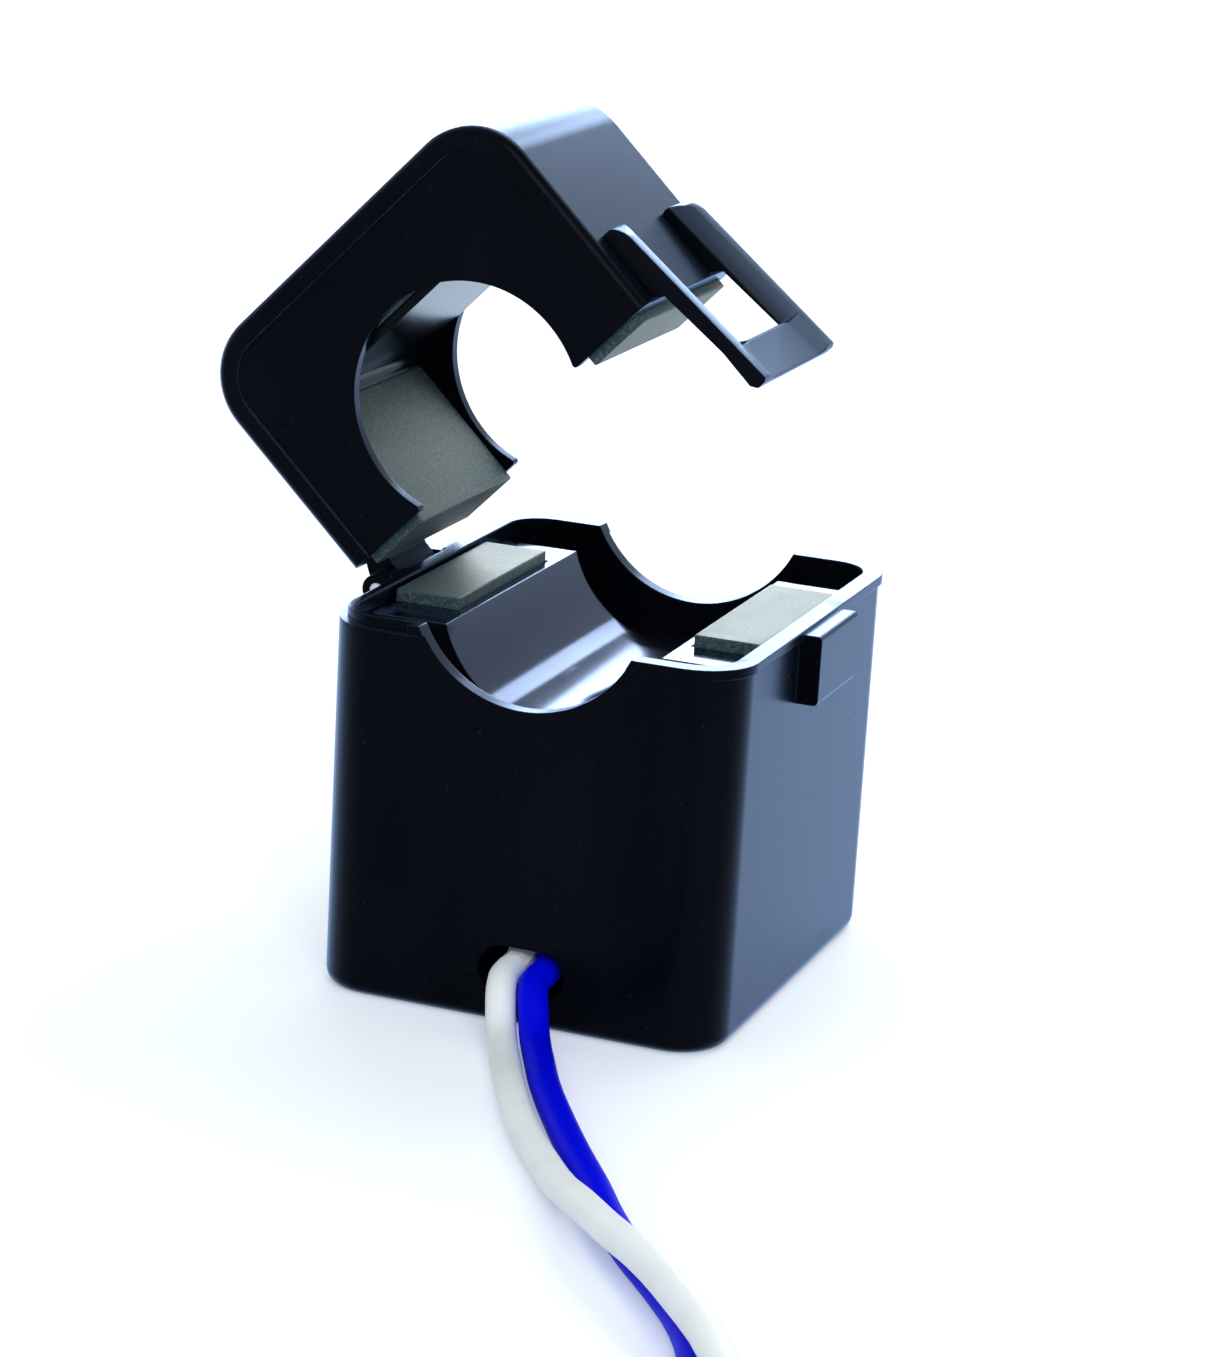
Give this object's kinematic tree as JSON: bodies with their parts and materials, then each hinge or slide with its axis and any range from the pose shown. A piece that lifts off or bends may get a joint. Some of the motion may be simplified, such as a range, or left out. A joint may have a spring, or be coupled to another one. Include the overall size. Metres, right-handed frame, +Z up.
{
  "type": "split-core current transformer",
  "caption": "Hinged current sensor that snaps round an insulated cable, with ferrite cores, a side latch and two loose leads.",
  "frame": {"origin": "middle of the case's flat underside", "axes": "+X from the hinge side to the latch side, +Y along the cable, away from the lead outlet, +Z up from the underside"},
  "size_m": [0.0674, 0.1585, 0.0599],
  "materials": {
    "black_plastic": "semi-gloss moulded black with a faint cool sheen",
    "glossy_black": "high-gloss black",
    "ferrite": "matte grey sintered ferrite with lapped pole faces",
    "foam": "closed-cell foam",
    "bobbin_plastic": "natural moulded nylon",
    "copper_wire": "enamelled copper",
    "tape": "yellow insulating film",
    "pin_steel": "plain steel",
    "shrink_sleeve": "heat-shrink tube",
    "spring_steel": "spring steel strip",
    "white_insulation": "smooth off-white wire insulation",
    "blue_insulation": "smooth saturated blue wire insulation",
    "tie_plastic": "natural nylon",
    "tinned_wire": "tinned copper strands"
  },
  "bodies": {
    "base": {"lower_case": "black_plastic", "inner_cover": "glossy_black", "lower_core": "ferrite", "core_pads": "foam", "bobbin": "bobbin_plastic", "secondary_winding": "copper_wire", "winding_tape": "tape", "winding_ends": "copper_wire", "hinge_pin": "pin_steel", "lead_retainer": "black_plastic", "white_inner_lead": "white_insulation", "blue_inner_lead": "blue_insulation", "white_joint_sleeve": "shrink_sleeve", "blue_joint_sleeve": "shrink_sleeve", "white_lead": "white_insulation", "blue_lead": "blue_insulation", "white_coil": "white_insulation", "blue_coil": "blue_insulation", "coil_tie": "tie_plastic", "white_tip": "tinned_wire", "blue_tip": "tinned_wire"},
    "lid": {"upper_case": "black_plastic", "upper_core": "ferrite", "core_liner": "glossy_black", "core_spring": "spring_steel"},
    "latch": {"latch": "black_plastic"}
  },
  "joints": [
    {"name": "lid_hinge", "type": "hinge", "parent": "base", "child": "lid", "pos_m": [-0.0161, 0, 0.026], "axis": [0, -1, 0], "range_deg": [-46, 54]},
    {"name": "latch_flex", "type": "hinge", "parent": "lid", "child": "latch", "pos_m": [0.00002, 0, 0.05335], "axis": [0, -1, 0], "range_deg": [0, 5], "stiffness_Nm_per_rad": 0.3}
  ]
}
